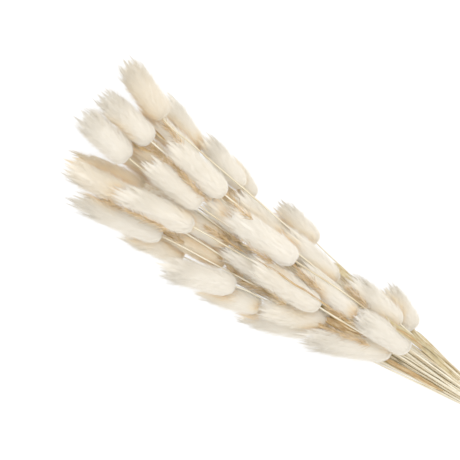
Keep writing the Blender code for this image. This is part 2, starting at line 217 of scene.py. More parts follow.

# Dry leaves among the stems. Most lie low in the bundle and under the heads, dark sheets that stand
# in for the shade in the gaps there, painted shade: points as reach, side and height from the
# twine, then the width
LEAVES_AND_SHADE = (
    (((118, -21, 4), (100, -17, 4), (85, -14, 4), (69, -11, 4), (45, -8, 4), (22, -4, 5)), 7.0),
    (((100, 14, 12), (87, 13, 11), (60, 9, 9), (40, 6, 8)), 5.0),
    (((118, 11, 40), (108, 9, 46), (99, 9, 48), (90, 9, 43), (78, 8, 31), (62, 6, 23), (45, 4, 18)), 4.6),
    (((172, 21, 25), (163, 19, 27), (153, 18, 25), (142, 16, 22)), 5.0),
    (((108, -17, 7), (88, -14, 7), (60, -10, 6), (22, -4, 6)), 5.5),
    (((112, -10, 9), (90, -9, 8), (60, -6, 7), (20, -2, 7)), 6.5),
    (((120, -4, 8), (92, -3, 7), (60, -2, 7), (22, -1, 6)), 6.5),
    (((118, 4, 8), (90, 3, 7), (60, 2, 6), (20, 1, 6)), 6.5),
    (((108, 12, 9), (88, 9, 8), (60, 6, 7), (22, 3, 7)), 6.0),
    (((176, -14, 15), (158, -11, 15), (138, -10, 13), (110, -8, 11), (70, -5, 9)), 6.0),
    (((150, -22, 14), (130, -17, 12), (105, -13, 11), (70, -8, 9)), 4.5),
    (((250, -24, 10), (232, -25, 10), (213, -26, 10)), 5.0),
    (((258, -16, 12), (242, -19, 12), (224, -21, 12)), 4.0),
)

# Narrow brown sheaths between the heads and on the stems, in the same way. Mostly they are painted
# shade: dark lines where the gaps beside the heads and stems are deepest
SHADE_SHEATHS = (
    (((161, -8, 40), (151, -8, 42), (141, -8, 41), (131, -8, 40), (121, -7, 38)), 2.0),
    (((158, -10, 40), (146, -11, 40), (135, -11, 39), (125, -9, 37)), 3.0),
    (((158, -17, 31), (142, -15, 34), (132, -12, 36), (120, -10, 35)), 4.6),
    (((159, -23, 34), (149, -22, 35), (140, -19, 36), (129, -16, 36)), 2.4),
    (((253, -11, 37), (244, -12, 36), (236, -12, 38), (227, -11, 36)), 1.6),
    (((256, -10, 20), (246, -9, 22), (236, -9, 23), (226, -8, 22)), 6.5),
    (((162, -18, 24), (150, -16, 26), (138, -14, 28), (128, -12, 28)), 6.5),
    (((201, 4, 46), (192, 2, 46), (184, 0, 47), (176, 0, 47), (168, -1, 46)), 1.8),
    (((351, 25, 31), (341, 24, 31), (333, 23, 32), (325, 22, 32)), 2.2),
    (((347, 7, 32), (338, 7, 37), (332, 8, 37), (325, 11, 36)), 2.2),
    (((293, -34, 23), (285, -34, 24), (277, -33, 24), (270, -32, 25)), 2.4),
    (((222, -10, 54), (213, -10, 54), (204, -9, 53), (195, -9, 55), (186, -9, 54), (177, -8, 53),
      (168, -8, 51), (162, -8, 48), (155, -8, 44), (146, -8, 42)), 1.5),
    (((104, -15, 17), (91, -14, 17), (77, -12, 16), (64, -11, 15), (49, -9, 14)), 3.2),
    (((108, 8, 47), (99, 9, 49), (92, 9, 46), (81, 8, 35)), 1.6),
)

# Pale husks low between the heads, in the same way
HUSKS = (
    (((326, -15, 20), (315, -15, 24), (304, -12, 26), (291, -10, 28), (280, -8, 28)), 6.0),
    (((149, 6, 26), (142, 6, 28), (134, 6, 28), (124, 6, 26)), 4.0),
)

# Dark scraps in the grooves between the stems, in the same way: painted shade, where the grooves
# are deep
SHADE_SCRAPS = (
    (((92, -6, 22), (81, -5, 18), (70, -5, 17), (57, -4, 15), (41, -3, 20)), 0.9),
    (((100, -10, 15), (93, -10, 15), (86, -10, 16)), 0.9),
    (((86, 9, 39), (76, 9, 31), (66, 8, 26)), 0.9),
    (((71, 2, 17), (63, 2, 16), (55, 2, 16)), 0.8),
)

# The four kinds of dry blade by their pieces' name: where they lie, and their colours and lines as
# for straw. The dark leaves, sheaths and scraps are in part painted shade
BLADES = {
    "leaf_and_shade": (LEAVES_AND_SHADE, ((0.15, 0.10, 0.03), (0.44, 0.33, 0.14), (0.72, 0.60, 0.32)), (30.0, 3.0)),
    "shade_sheath": (SHADE_SHEATHS, ((0.08, 0.03, 0.004), (0.36, 0.18, 0.04), (0.78, 0.60, 0.30)), (11.0, 2.0)),
    "husk": (HUSKS, ((0.52, 0.38, 0.20), (0.80, 0.68, 0.48), (0.92, 0.86, 0.72)), (11.0, 2.0)),
    "shade_scrap": (SHADE_SCRAPS, ((0.05, 0.03, 0.008), (0.12, 0.08, 0.025), (0.34, 0.25, 0.10)), (11.0, 2.0)),
}

# A blade's form: the points across it, its crease, and how blunt and how steep its pointed ends are.
# Then how much it is rolled at one end and twisted along it, at most, in radians, a step along it, and
# its shine
BLADE_ACROSS = 5
BLADE_CREASE = 0.5
BLADE_BLUNT = 0.12
BLADE_TAPER = 5.0
BLADE_ROLL = 0.5
BLADE_TWIST = 0.9
BLADE_STEP = 2.5
BLADE_SHINE = 0.2

# Points of plumes and blades that would be lower than this over the surface are brought up to it
LOWEST_HAIR = 0.1

# Golden hairs that show between the heads, their golden brown in part painted shade of the gaps:
# reach and side from the twine at both ends of each place, then how wide it is
GOLDEN_PLACES = (
    ((335, 32), (315, 27), 3.5),
    ((333, 12), (316, 10), 3.0),
    ((318, 12), (276, 4), 2.5),
    ((268, 15), (242, 12), 3.5),
    ((337, -40), (289, -31), 1.6),
    ((291, -33), (272, -32), 4.0),
    ((252, -10), (235, -11), 3.5),
    ((245, -7), (211, -6), 2.5),
    ((199, 2), (174, -1), 4.0),
    ((158, -9), (136, -8), 3.0),
    ((155, -22), (118, -14), 3.0),
    ((244, -25), (222, -28), 2.5),
    ((221, -30), (203, -26), 3.0),
    ((203, -26), (186, -25), 2.5),
    ((155, 12), (134, 9), 3.0),
    ((266, -13), (245, -12), 3.0),
)

# How many they are for each millimetre of a place, how wide and long, how deep their roots are in the
# heads and how much their ends rise, and the palest of their tones
GOLDEN_PER_MM = 8
GOLDEN_WIDTH = 0.32
GOLDEN_LENGTH = (3.0, 8.0)
GOLDEN_DEPTH = (0.5, 2.0)
GOLDEN_TONE = 0.2

# The twine: the radius of its cord's middle round the stems, its turns, its width along the stems, and
# a step along the cord. Then half its thickness, how much of that the surface presses flat, and how
# deep and over how much of the cord its two ends are tucked in
CORD_RADIUS = 7.42
CORD_TURNS = 4.7
CORD_WIDTH = 7.8
CORD_STEP = 0.45
CORD_HALF = 1.0
CORD_PRESSED = 0.25
TUCK_DEPTH = 1.3
TUCK_LENGTH = 2.5

# Its two strands: their radius, sides, distance from the cord's middle, and the length of one twist
STRAND_RADIUS = 0.56
STRAND_SIDES = 7
STRAND_OFFSET = 0.46
TWIST_LENGTH = 4.4

# Its loose fibres: how many, how wide, and how far from the cord's middle they start
FIBRES = 320
FIBRE_WIDTH = 0.07
FIBRE_START = 0.8


def unit(vectors):
    """Vectors of length 1 in the same directions."""
    return vectors / np.maximum(np.linalg.norm(vectors, axis=-1, keepdims=True), 1e-12)


# Reading the frame


def welded(node):
    """A node's points without doubles, and how many triangles meet at each."""
    mesh = node.data
    points = np.empty(3 * len(mesh.vertices), np.float32)
    mesh.vertices.foreach_get("co", points)
    mesh.calc_loop_triangles()
    corners = np.empty(3 * len(mesh.loop_triangles), np.int32)
    mesh.loop_triangles.foreach_get("vertices", corners)
    points, spot = np.unique(points.reshape(-1, 3).round(7), axis=0, return_inverse=True)
    return points.astype(float), np.bincount(spot.ravel()[corners], minlength=len(points))


def profile(along):
    """A plume's outline as a share of its widest: a round base, a full middle and a blunt end."""
    into_base = 1.0 - np.clip(along / ROUND_BASE, 0.0, 1.0)
    into_end = np.clip((along - NARROWS_FROM) / (1.0 - NARROWS_FROM), 0.0, 1.1)
    return np.maximum(np.sqrt(1.0 - into_base**2) * (1.0 - END_NARROWING * into_end**2.5), THINNEST)


def bowed(along):
    """How much of its bow a head's axis has there: none at both ends, and all in the middle."""
    return 4.0 * along * (1.0 - along)


class Tail:
    """A tail as the frame has it: the path of its stem, and the axis and outline of its head."""

    def __init__(self, node):
        points, faces_at = welded(node)
        self.path = self.read_stem(points)
        self.base = self.path[-1]
        in_head = points[:, 0] < self.base[0]
        self.read_head(points[in_head], faces_at[in_head])

    def read_stem(self, points):
        """The middles of the stem's rings, from its cut end to its head."""
        order = np.argsort(-points[:, 0])
        steps = np.flatnonzero(-np.diff(points[order, 0]) > SAME_PLANE * MM) + 1
        path = []
        for group in np.split(order, steps):
            centre = points[group].mean(axis=0)
            size = np.linalg.norm(points[group] - centre, axis=1).max()
            if len(group) == STEM_SIDES and size < WIDEST_RING * MM:
                path.append(centre)
        return np.array(path)

    def read_head(self, points, faces_at):
        """The head's directions, length and bow, its free radius, and how far each tuft reaches."""
        tip = points[faces_at.argmax()]
        self.forward = unit(tip - self.base)
        self.length = np.linalg.norm(tip - self.base) / TIP_POINT
        self.across = unit(np.cross(self.forward, UP))
        self.up = np.cross(self.across, self.forward)
        self.bow = np.zeros(3)
        along, offset = self.split(points[faces_at == CORE_FACES])
        curve = bowed(along)
        self.bow = (curve[:, None] * offset).sum(axis=0) / (curve**2).sum()
        along, offset = self.split(points)
        peaks = (faces_at == PEAK_FACES) & (along > 0.05) & (along < 1.0)
        self.peak_along = along[peaks]
        self.peak_angle = self.angle(offset[peaks])
        radius = np.linalg.norm(offset[peaks], axis=1) / profile(self.peak_along)
        self.radius = np.percentile(radius, FREE_TUFTS)
        self.peak_share = np.clip(radius / self.radius, *TUFT_LIMITS) ** SOFTNESS

    def split(self, points):
        """How far along the head each point is, and its offset from the head's bowed axis."""
        gap = points - self.base
        along = gap @ self.forward / self.length
        straight = gap - np.outer(along * self.length, self.forward)
        return along, straight - np.outer(bowed(along), self.bow)

    def angle(self, offset):
        """The direction of an offset round the head's axis."""
        return np.arctan2(offset @ self.up, offset @ self.across)

    def share(self, along, angle):
        """How much of its free radius the head has there, where its neighbours press it in."""
        turn = angle[:, None] - self.peak_angle
        turn = np.abs((turn + math.pi) % TURN - math.pi)
        reach = along[:, None] - self.peak_along
        weight = np.exp(-((turn / TUFT_BLUR[0]) ** 2 + (reach / TUFT_BLUR[1]) ** 2)) + 1e-9
        return (weight * self.peak_share).sum(axis=1) / weight.sum(axis=1)

    def outward(self, angle):
        """The direction that points out of the head's axis at an angle."""
        return np.outer(np.cos(angle), self.across) + np.outer(np.sin(angle), self.up)

    def middle(self, along):
        """Points of the head's bowed axis."""
        straight = self.base + np.outer(along * self.length, self.forward)
        return straight + np.outer(bowed(along), self.bow)

    def place(self, along, angle, share):
        """Points of the head: along it, round it, and out from its axis as a share of its outline."""
        radius = share * self.radius * profile(along) * self.share(along, angle)
        return self.middle(along) + radius[:, None] * self.outward(angle)

    def surroundings(self, points, others):
        """How close heads above come to each point, from 0 to 1 where they touch it, for the painted
        shade under them, and how clear it is of all other heads as seen from above, from 0 to 1, for the
        painted shade at the plume's end."""
        own = self.middle(np.clip(self.split(points)[0], 0.0, 1.0))
        painted_shade_under = np.zeros(len(points))
        clear = np.full(len(points), FREE_GAP * MM)
        for other in others:
            along = np.clip(other.split(points)[0], 0.0, 1.0)
            middle = other.middle(along)
            radius = other.radius * profile(along)
            gap = np.linalg.norm(points - middle, axis=1) - radius
            above = np.clip((middle - own)[:, 2] / (RISE * MM) + LEVEL_SHADE_UNDER, 0.0, 1.0)
            nearness = np.exp(-np.maximum(gap, 0.0) / (SHADE_UNDER_DEPTH * MM))
            painted_shade_under = np.maximum(painted_shade_under, above * nearness)
            clear = np.minimum(clear, np.linalg.norm((points - middle)[:, :2], axis=1) - radius)
        return painted_shade_under, np.maximum(clear, 0.0) / (FREE_GAP * MM)


# Meshes. A shape is its points, its faces and its points' places on the map


def make_piece(name, shape, material, replaced=None):
    """A mesh of a shape that rides on the bunch."""
    points, faces, uv = shape
    mesh = bpy.data.meshes.new(name)
    mesh.from_pydata(points, [], faces)
    corners = np.empty(len(mesh.loops), np.int32)
    mesh.loops.foreach_get("vertex_index", corners)
    layer = mesh.uv_layers.new(name="OFBake")
    layer.uv.foreach_set("vector", np.asarray(uv, np.float32)[corners].ravel())
    mesh.shade_smooth()
    mesh.materials.append(material)
    piece = bpy.data.objects.new(name, mesh)
    bpy.context.scene.collection.objects.link(piece)
    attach(piece, "root")
    if replaced:
        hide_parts(replaced)


def joined(*shapes):
    """Several shapes as one."""
    firsts = np.cumsum([0] + [len(points) for points, _, _ in shapes[:-1]])
    points = np.concatenate([shape[0] for shape in shapes])
    faces = np.concatenate([shape[1] + first for shape, first in zip(shapes, firsts)])
    return points, faces, np.concatenate([shape[2] for shape in shapes])


def lifted(shape, lowest):
    """A shape with the points that would be lower than this over the surface brought up to it."""
    shape[0][:, 2] = np.maximum(shape[0][:, 2], lowest * MM)
    return shape


def grid_faces(count, across):
    """The triangles between rows of points that follow each other."""
    faces = []
    for low in range(0, (count - 1) * across, across):
        for index in range(low, low + across - 1):
            faces.append((index, index + across, index + across + 1))
            faces.append((index, index + across + 1, index + 1))
    return faces


def distances(points):
    """How far along a path each of its points is."""
    return np.concatenate([[0.0], np.cumsum(np.linalg.norm(np.diff(points, axis=0), axis=1))])


def smooth_path(points, step):
    """A smooth curve through points, as points a step apart."""
    lengths = distances(points)
    tangents = np.gradient(points, lengths, axis=0)
    places = np.linspace(0.0, lengths[-1], int(lengths[-1] / step) + 1)
    spot = np.clip(np.searchsorted(lengths, places) - 1, 0, len(points) - 2)
    span = (lengths[spot + 1] - lengths[spot])[:, None]
    t = (places - lengths[spot])[:, None] / span
    start, end = points[spot], points[spot + 1]
    leave, arrive = tangents[spot] * span, tangents[spot + 1] * span
    bend = (2 * t**3 - 3 * t**2 + 1) * start + (t**3 - 2 * t**2 + t) * leave
    return bend + (3 * t**2 - 2 * t**3) * end + (t**3 - t**2) * arrive


def tube_shape(path, radius, sides, map_from, map_width):
    """A closed tube along a path. Its map is an upright strip of the square."""
    count, row = len(path), sides + 1
    ahead = unit(np.gradient(path, axis=0))
    across = unit(np.cross(ahead, UP))
    over = np.cross(across, ahead)
    angle = np.arange(row) * TURN / sides
    ring = np.cos(angle)[:, None] * across[:, None] + np.sin(angle)[:, None] * over[:, None]
    points = (path[:, None] + radius[:, None, None] * ring).reshape(-1, 3)
    step = distances(path)
    uv = np.empty((count, row, 2))
    uv[:, :, 0] = map_from + map_width * np.linspace(0.0, 1.0, row)
    uv[:, :, 1] = 0.02 + 0.96 * step[:, None] / step[-1]
    faces = grid_faces(count, row)
    last_row, first_end, last_end = (count - 1) * row, count * row, count * row + 1
    for index in range(sides):
        faces.append((index, index + 1, first_end))
        faces.append((last_row + index + 1, last_row + index, last_end))
    middle = map_from + 0.5 * map_width
    uv = np.concatenate([uv.reshape(-1, 2), [[middle, 0.005], [middle, 0.995]]])
    return np.concatenate([points, path[[0, -1]]]), np.array(faces), uv


def blade_shape(path, width, draw):
    """A narrow dry blade: creased along its middle, twisted a little and pointed at both ends."""
    count = len(path)
    ahead = unit(np.gradient(path, axis=0))
    side = unit(np.cross(ahead, UP))
    over = np.cross(side, ahead)
    along = np.linspace(0.0, 1.0, count)
    taper = BLADE_TAPER * np.minimum(along, 1.0 - along) + BLADE_BLUNT
    half = 0.5 * width * np.minimum(1.0, taper)
    roll = draw.uniform(-BLADE_ROLL, BLADE_ROLL) + draw.uniform(-BLADE_TWIST, BLADE_TWIST) * along
    turned = np.cos(roll)[:, None] * side + np.sin(roll)[:, None] * over
    upright = np.cos(roll)[:, None] * over - np.sin(roll)[:, None] * side
    places = np.linspace(-1.0, 1.0, BLADE_ACROSS)
    spread = half[:, None, None] * places[None, :, None] * turned[:, None]
    crease = half[:, None, None] * BLADE_CREASE * np.abs(places)[None, :, None] * upright[:, None]
    points = (path[:, None] + spread + crease).reshape(-1, 3)
    uv = np.empty((count, BLADE_ACROSS, 2))
    uv[:, :, 0] = 0.05 + 0.9 * 0.5 * (places + 1.0)
    uv[:, :, 1] = 0.02 + 0.96 * along[:, None]
    return points, np.array(grid_faces(count, BLADE_ACROSS)), uv.reshape(-1, 2)


def strand_shape(root, middle, tip, facing, width, tone, along=0.02, end=0.98):
    """Flat tapered strands of hair, three triangles each. The map holds tone and place along."""
    count = len(root)
    side = unit(np.cross(tip - root, facing)) * 0.5 * width[:, None]
    points = np.stack(
        [root - side, root + side, middle - MIDDLE_WIDTH * side, middle + MIDDLE_WIDTH * side, tip],
        axis=1,
    )
    first = 5 * np.arange(count)[:, None, None]
    faces = first + np.array([[0, 1, 3], [0, 3, 2], [2, 3, 4]])
    along, end = np.broadcast_to(along, count), np.broadcast_to(end, count)
    uv = np.empty((count, 5, 2))
    shade = np.clip(tone, 0.01, 0.99)
    uv[:, :, 0] = shade[:, None] + np.array([-1.0, 1.0, -1.0, 1.0, 0.0]) * STRIP_HALF
    uv[:, :2, 1] = along[:, None]
    uv[:, 2:4, 1] = 0.5 * (along + end)[:, None]
    uv[:, 4, 1] = end
    return points.reshape(-1, 3), faces.reshape(-1, 3), uv.reshape(-1, 2)


# Materials


class Nodes:
    """A material's node tree, with short ways to add to it."""

    def __init__(self, name):
        self.material = bpy.data.materials.new(name)
        self.material.use_nodes = True
        self.tree = self.material.node_tree
        self.shader = self.tree.nodes["Principled BSDF"]
        self.output = self.tree.nodes["Material Output"]

    def add(self, kind, **values):
        """A new node with its own settings."""
        node = self.tree.nodes.new(kind)
        for key, value in values.items():
            setattr(node, key, value)
        return node

    def link(self, source, target):
        self.tree.links.new(source, target)

    def map_parts(self):
        """The first and second coordinates of the piece's own map."""
        place = self.add("ShaderNodeUVMap", uv_map="OFBake")
        parts = self.add("ShaderNodeSeparateXYZ")
        self.link(place.outputs["UV"], parts.inputs["Vector"])
        return parts.outputs["X"], parts.outputs["Y"]

    def noise(self, scales, detail):
        """Noise over the piece's own map, with its own scale each way."""
        place = self.add("ShaderNodeUVMap", uv_map="OFBake")
        stretch = self.add("ShaderNodeMapping")
        stretch.inputs["Scale"].default_value = (*scales, 1.0)
        self.link(place.outputs["UV"], stretch.inputs["Vector"])
        pattern = self.add("ShaderNodeTexNoise")
        pattern.inputs["Scale"].default_value = 1.0
        pattern.inputs["Detail"].default_value = detail
        self.link(stretch.outputs["Vector"], pattern.inputs["Vector"])
        return pattern.outputs["Fac"]

    def ramp(self, factor, stops):
        """Colours that follow a factor, from (position, colour) stops."""
        node = self.add("ShaderNodeValToRGB")
        elements = node.color_ramp.elements
        while len(elements) < len(stops):
            elements.new(0.5)
        for element, (position, color) in zip(elements, stops):
            element.position = position
            element.color = (*color, 1.0)
        self.link(factor, node.inputs["Fac"])
        return node.outputs["Color"]

    def multiply(self, first, second):
        """Two colours multiplied. Sockets 6, 7 and 2 are the mix node's colours."""
        node = self.add("ShaderNodeMix", data_type="RGBA", blend_type="MULTIPLY")
        node.inputs["Factor"].default_value = 1.0
        self.link(first, node.inputs[6])
        self.link(second, node.inputs[7])
        return node.outputs[2]

    def bump(self, height, strength, distance):
        """Relief from a height, with its distance in millimetres."""
        node = self.add("ShaderNodeBump")
        node.inputs["Strength"].default_value = strength
        node.inputs["Distance"].default_value = distance * MM
        self.link(height, node.inputs["Height"])
        self.link(node.outputs["Normal"], self.shader.inputs["Normal"])

    def let_light_through(self, color, share):
        """Lets this share of the light come through thin hair."""
        glow = self.add("ShaderNodeBsdfTranslucent")
        self.link(color, glow.inputs["Color"])
        mix = self.add("ShaderNodeMixShader")
        mix.inputs["Fac"].default_value = share
        self.link(self.shader.outputs["BSDF"], mix.inputs[1])
        self.link(glow.outputs["BSDF"], mix.inputs[2])
        self.link(mix.outputs["Shader"], self.output.inputs["Surface"])


def fluff_material():
    """Dry hair: golden at its root and pale along it, and in places more tan. Painted shade makes it
    darker grey at its tip and golden brown under heads above.
    """
    nodes = Nodes("dried_fluff")
    tone_place, along_place = nodes.map_parts()
    # Along a hair, from root to tip. Its last part, the darker grey, is painted shade that hair reaches
    # towards a plume's end and at strays' tips
    along = nodes.ramp(
        along_place,
        [
            (0.0, (0.92, 0.82, 0.66)),
            (0.25, (0.975, 0.935, 0.855)),
            (0.52, (0.985, 0.96, 0.90)),
            (0.68, (0.965, 0.93, 0.855)),
            (0.84, (0.85, 0.81, 0.72)),
            (1.0, (0.58, 0.53, 0.44)),
        ],
    )
    # By tone: its low, golden brown end is what painted shade under heads above and the golden hairs in
    # the gaps take
    tone = nodes.ramp(
        tone_place,
        [
            (0.0, (0.30, 0.17, 0.06)),
            (0.12, (0.90, 0.65, 0.34)),
            (0.24, (0.96, 0.79, 0.50)),
            (0.42, (0.97, 0.88, 0.70)),
            (0.65, (0.985, 0.965, 0.92)),
            (0.9, (1.0, 0.997, 0.99)),
        ],
    )
    flecks = nodes.ramp(
        nodes.noise((140.0, 5.0), 3.0),
        [
            (0.3, (0.97, 0.96, 0.94)),
            (0.6, (1.0, 1.0, 1.0)),
        ],
    )
    color = nodes.multiply(nodes.multiply(along, tone), flecks)
    nodes.link(color, nodes.shader.inputs["Base Color"])
    nodes.shader.inputs["Roughness"].default_value = 0.7
    nodes.shader.inputs["Specular IOR Level"].default_value = 0.25
    nodes.let_light_through(color, 0.45)
    return nodes.material


def straw_material(name, colors, scales, shine=0.5):
    """Dry straw or a dry blade, some of them painted shade: long fine lines, and browner patches."""
    nodes = Nodes(name)
    lines = nodes.noise(scales, 5.0)
    color = nodes.ramp(lines, list(zip((0.32, 0.5, 0.68), colors)))
    patches = nodes.ramp(
        nodes.noise((1.5, 14.0), 2.0),
        [
            (0.35, (0.80, 0.68, 0.52)),
            (0.55, (1.0, 1.0, 1.0)),
        ],
    )
    nodes.link(nodes.multiply(color, patches), nodes.shader.inputs["Base Color"])
    nodes.shader.inputs["Roughness"].default_value = 0.42
    nodes.shader.inputs["Specular IOR Level"].default_value = shine
    nodes.bump(lines, 0.35, 0.1)
    return nodes.material


def twine_material():
    """Rough plant fibre twine."""
    nodes = Nodes("plant_twine")
    fibres = nodes.noise((30.0, 420.0), 4.0)
    color = nodes.ramp(
        fibres,
        [
            (0.3, (0.30, 0.19, 0.09)),
            (0.7, (0.62, 0.46, 0.27)),
        ],
    )
    nodes.link(color, nodes.shader.inputs["Base Color"])
    nodes.shader.inputs["Roughness"].default_value = 0.9
    nodes.bump(fibres, 0.5, 0.2)
    return nodes.material


# The plumes


def splay(along):
    """How far a plume's tufts stand out beyond its outline near the end."""
    return END_SPLAY * np.clip((along - SPLAY_FROM) / (1.0 - SPLAY_FROM), 0.0, 1.0)


def in_tufts(kind, along, angle, out):
    """The places of tufts, once for each of their hairs."""
    return np.stack([np.repeat(values, kind[1]) for values in (along, angle, out)])


def cover_places(draw):
    """Where the hairs that cover a plume end: along it, round it, and out from its axis."""
    count = COVER_TUFTS[0]
    order = np.arange(count)
    along = BODY_END * (order + 0.5) / count + draw.normal(0.0, COVER_SCATTER[0], count)
    along = np.clip(along, 0.01, 1.0)
    angle = order * GOLDEN_TURN + draw.normal(0.0, COVER_SCATTER[1], count)
    return in_tufts(COVER_TUFTS, along, angle, draw.uniform(*COVER_OUT, count) + splay(along))


def barb_places(draw):
    """Where the hairs of the barbs end, which stand out a little further than the rest."""
    count = BARBS[0]
    start, stretch = BARBS_ALONG
    along = start + stretch * ((np.arange(count) + draw.random(count)) / count) ** 0.7
    angle = draw.uniform(0.0, TURN, count)
    return in_tufts(BARBS, along, angle, draw.uniform(*BARBS_OUT, count) + 0.8 * splay(along))


def wisp_places(draw):
    """Where the hairs of the end's long wisps meet, spread out evenly over its round end."""
    count = WISPS[0]
    order = np.arange(count)
    spread = np.sqrt((order + 0.5) / count)
    along = WISPS_ALONG + draw.uniform(*WISPS_UNEVEN, count) - WISPS_ROUNDED * spread**2
    return in_tufts(WISPS, along, order * GOLDEN_TURN, WISPS_SPREAD * spread)


def loose_places(draw):
    """Where the hairs between the tufts end."""
    along = BODY_END * draw.random(LOOSE_HAIRS)
    angle = draw.uniform(0.0, TURN, LOOSE_HAIRS)
    into_end = np.clip((along / BODY_END - CLOSED_END[0]) / CLOSED_END[1], 0.0, 1.0)
    inward = 1.0 - into_end * (1.0 - np.sqrt(draw.random(LOOSE_HAIRS)))
    out = inward * draw.uniform(*LOOSE_OUT, LOOSE_HAIRS) + 0.7 * splay(along)
    return np.stack([along, angle, out])


def hair_looks(along, reach, tone, head_shade, painted_shade_under, clear, uneven):
    """A hair's tone, darkened under heads above by painted shade, and which part of its colours from
    root to tip it shows, towards the darker grey tip of painted shade near the plume's end.
    """
    dome = np.clip(1.0 - along / ROUND_BASE, 0.0, 1.0)
    shade = tone + DOME_PALER * dome + TONE_SCATTER * uneven
    shade = shade * (1.0 - SHADE_UNDER_TONE * painted_shade_under * (1.0 + SHADE_UNDER_SCATTER * uneven))
    into_end = np.clip((reach - END_SHADE_FROM) / (1.0 - END_SHADE_FROM), 0.0, 1.0)
    painted_end_shade = np.maximum(into_end * (HIDDEN_END_SHADE + (1.0 - HIDDEN_END_SHADE) * clear), head_shade)
    start = 0.05 + 0.25 * dome + 0.75 * painted_end_shade
    return np.maximum(shade, DARKEST_TONE), start, 0.8 + 0.19 * painted_end_shade


def plume_strands(tail, others, tone, head_shade, draw):
    """The hairs of a plume. They spring from its core, and those of one tuft meet at its end."""
    kinds = [cover_places(draw), barb_places(draw), wisp_places(draw), loose_places(draw)]
    kind = np.repeat((COVER, BARB, WISP, LOOSE), [places.shape[1] for places in kinds])
    along, angle, out = np.concatenate(kinds, axis=1)
    count = len(along)
    uneven = draw.normal(0.0, 1.0, (5, count))
    short = draw.random(count) ** 2 * (kind != LOOSE)
    reach = along + HAIR_SCATTER[0] * uneven[0] - SHORT_BY[0] * short * np.minimum(1.0, 4.0 * along)
    reach = np.maximum(reach, 0.008)
    tip_out = out - HAIR_SCATTER[1] * np.abs(uneven[1]) - SHORT_BY[1] * short
    tip_angle = angle + np.where(kind == WISP, WISP_SCATTER, HAIR_SCATTER[2]) * uneven[2]
    tip = tail.place(reach, tip_angle, tip_out)
    back = np.array(HAIRS_BACK)[kind] * draw.uniform(0.8, 1.2, count)
    root_along = np.maximum(along - back, 0.015 + 0.02 * draw.random(count))
    root_angle = angle + ROOT_SCATTER * uneven[3]
    root = tail.place(root_along, root_angle, ROOT_OUT * np.minimum(out, 1.0))
    bend_along = root_along + 0.45 * (reach - root_along)
    bend = tail.place(bend_along, 0.5 * (tip_angle + root_angle), BEND_OUT * np.minimum(out, 1.0))
    middle = 0.25 * root + 0.5 * bend + 0.25 * tip
    facing = tail.outward(angle + draw.normal(0.0, 0.3, count))
    width = HAIR_WIDTH * MM * draw.uniform(0.7, 1.3, count)
    # Painted shade from the heads round each hair: golden brown under heads above, and darker grey
    # towards the end where the hair is clear of them
    painted_shade_under, clear = tail.surroundings(0.5 * (middle + tip), others)
    looks = hair_looks(along, reach, tone, head_shade, painted_shade_under, clear, uneven[4])
    return strand_shape(root, middle, tip, facing, width, *looks)


def stray_strands(tail, tone, draw):
    """Single fine hairs that stand clear of the plume, more of them near its end. Their tips reach the
    darker grey of painted shade.
    """
    along = draw.random(STRAY_HAIRS) ** 0.6
    angle = draw.uniform(0.0, TURN, STRAY_HAIRS)
    reach = along + draw.uniform(*STRAY_REACH, STRAY_HAIRS)
    out = draw.uniform(*STRAY_OUT, STRAY_HAIRS) + 2.0 * splay(along) * draw.random(STRAY_HAIRS)
    tip = tail.place(reach, angle, out)
    root_along = np.maximum(along - 0.1, 0.02)
    root = tail.place(root_along, angle, np.full(STRAY_HAIRS, 0.6))
    bend = tail.place(0.5 * (root_along + reach), angle, np.full(STRAY_HAIRS, 1.0))
    middle = 0.25 * root + 0.5 * bend + 0.25 * tip
    facing = tail.outward(angle + draw.normal(0.0, 0.6, STRAY_HAIRS))
    width = np.full(STRAY_HAIRS, STRAY_WIDTH * MM)
    shade = tone + draw.normal(0.0, 0.05, STRAY_HAIRS)
    return strand_shape(root, middle, tip, facing, width, shade, 0.5)


def core_shape(tail, tone):
    """The dense inside of a plume that hides what is behind it."""
    count = CORE_ROWS * CORE_SIDES
    along = np.repeat(np.linspace(*CORE_ALONG, CORE_ROWS), CORE_SIDES)
    angle = np.tile(np.arange(CORE_SIDES) * TURN / CORE_SIDES, CORE_ROWS)
    points = tail.place(along, angle, np.full(count, CORE_OUT))
    ends = tail.place(np.array(CORE_ENDS), np.zeros(2), np.zeros(2))
    last_row = count - CORE_SIDES
    faces = []
    for low in range(0, last_row, CORE_SIDES):
        high = low + CORE_SIDES
        for index in range(CORE_SIDES):
            after = (index + 1) % CORE_SIDES
            faces.append((low + index, low + after, high + after))
            faces.append((low + index, high + after, high + index))
    for index in range(CORE_SIDES):
        after = (index + 1) % CORE_SIDES
        faces.append((after, index, count))
        faces.append((last_row + index, last_row + after, count + 1))
    points = np.concatenate([points, ends])
    wave = np.arange(len(points))
    tones = np.clip(tone - 0.05 + 0.05 * np.cos(wave), 0.01, 0.99)
    return points, np.array(faces), np.stack([tones, 0.5 + 0.04 * np.sin(1.7 * wave)], axis=1)


def build_plume(number, tail, others, tone, fluff, draw):
    """One head's plume: its core, its hairs and its strays."""
    shape = joined(
        core_shape(tail, tone),
        plume_strands(tail, others, tone, SHADED_HEADS.get(number, 0.0), draw),
        stray_strands(tail, tone, draw),
    )
    name, replaced = f"plume_{number:02d}", f"bunny_tail_{number:02d}"
    make_piece(name, lifted(shape, LOWEST_HAIR), fluff, replaced)


# The golden hairs in the gaps between the heads, in part painted shade


def surface_heights(flat, tails):
    """How high the highest plume is over each spot, as seen from above, and 0 where none is."""
    heights = np.zeros(len(flat))
    for tail in tails:
        along, offset = tail.split(np.column_stack([flat, np.full(len(flat), tail.base[2])]))
        aside = np.abs(offset @ tail.across)
        radius = tail.radius * profile(along)
        over = (along > 0.0) & (along < 1.0) & (aside < radius)
        top = tail.middle(along)[:, 2] + np.sqrt(np.maximum(radius**2 - aside**2, 0.0))
        heights = np.where(over, np.maximum(heights, top), heights)
    return heights


